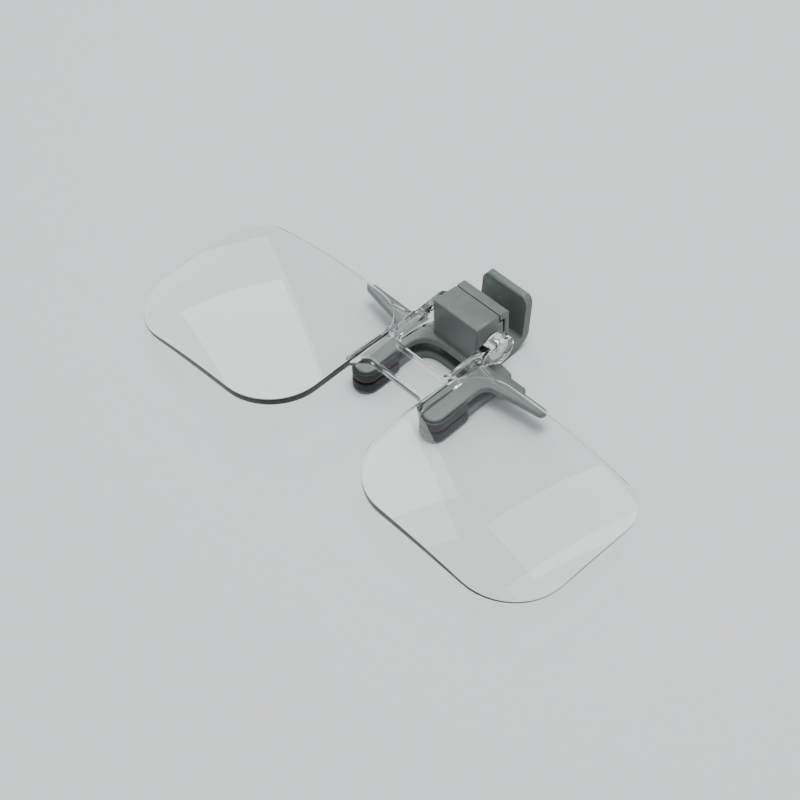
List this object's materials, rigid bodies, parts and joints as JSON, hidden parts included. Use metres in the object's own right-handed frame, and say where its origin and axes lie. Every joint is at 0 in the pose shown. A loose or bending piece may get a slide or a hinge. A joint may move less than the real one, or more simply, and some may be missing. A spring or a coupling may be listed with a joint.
{
  "type": "clip on flip lenses",
  "caption": "Clear twin magnifier lenses in one moulding, hinged to flip up on a small spring clip that grips spectacles by rubber-shod jaws.",
  "frame": {"origin": "on the surface that the object lies on, under the middle of its outline seen from above", "axes": "+X along the pair of lenses, +Y towards the thumb tab (up, when worn), +Z out of the front of the lenses, which lie level"},
  "size_m": [0.1086, 0.0568, 0.0157],
  "materials": {
    "clear_acrylic": "polished, water clear",
    "grey_plastic": "fine satin moulding, grey-green",
    "steel": "drawn wire and strip, bright",
    "black_rubber": "soft matt",
    "white_nylon": "natural, slightly waxy"
  },
  "bodies": {
    "clip": {"clip_body": "grey_plastic", "housing_cover": "grey_plastic", "detent_spring": "steel", "lever_pin": "steel", "lever_spring": "steel", "friction_washer_left": "white_nylon", "friction_washer_right": "white_nylon", "front_pad_left": "black_rubber", "front_pad_right": "black_rubber"},
    "lens_flip": {"twin_lens": "clear_acrylic", "flip_axle": "steel"},
    "lever": {"lever": "grey_plastic", "rear_pad_left": "black_rubber", "rear_pad_right": "black_rubber"}
  },
  "joints": [
    {"name": "flip_hinge", "type": "hinge", "parent": "clip", "child": "lens_flip", "pos_m": [0, 0.01664, 0.0088], "axis": [-1, 0, 0], "range_deg": [0, 100]},
    {"name": "lever_hinge", "type": "hinge", "parent": "clip", "child": "lever", "pos_m": [0, 0.01824, 0.0057], "axis": [1, 0, 0], "range_deg": [0, 22], "stiffness_Nm_per_rad": 0.03, "springref_deg": -28.65}
  ]
}
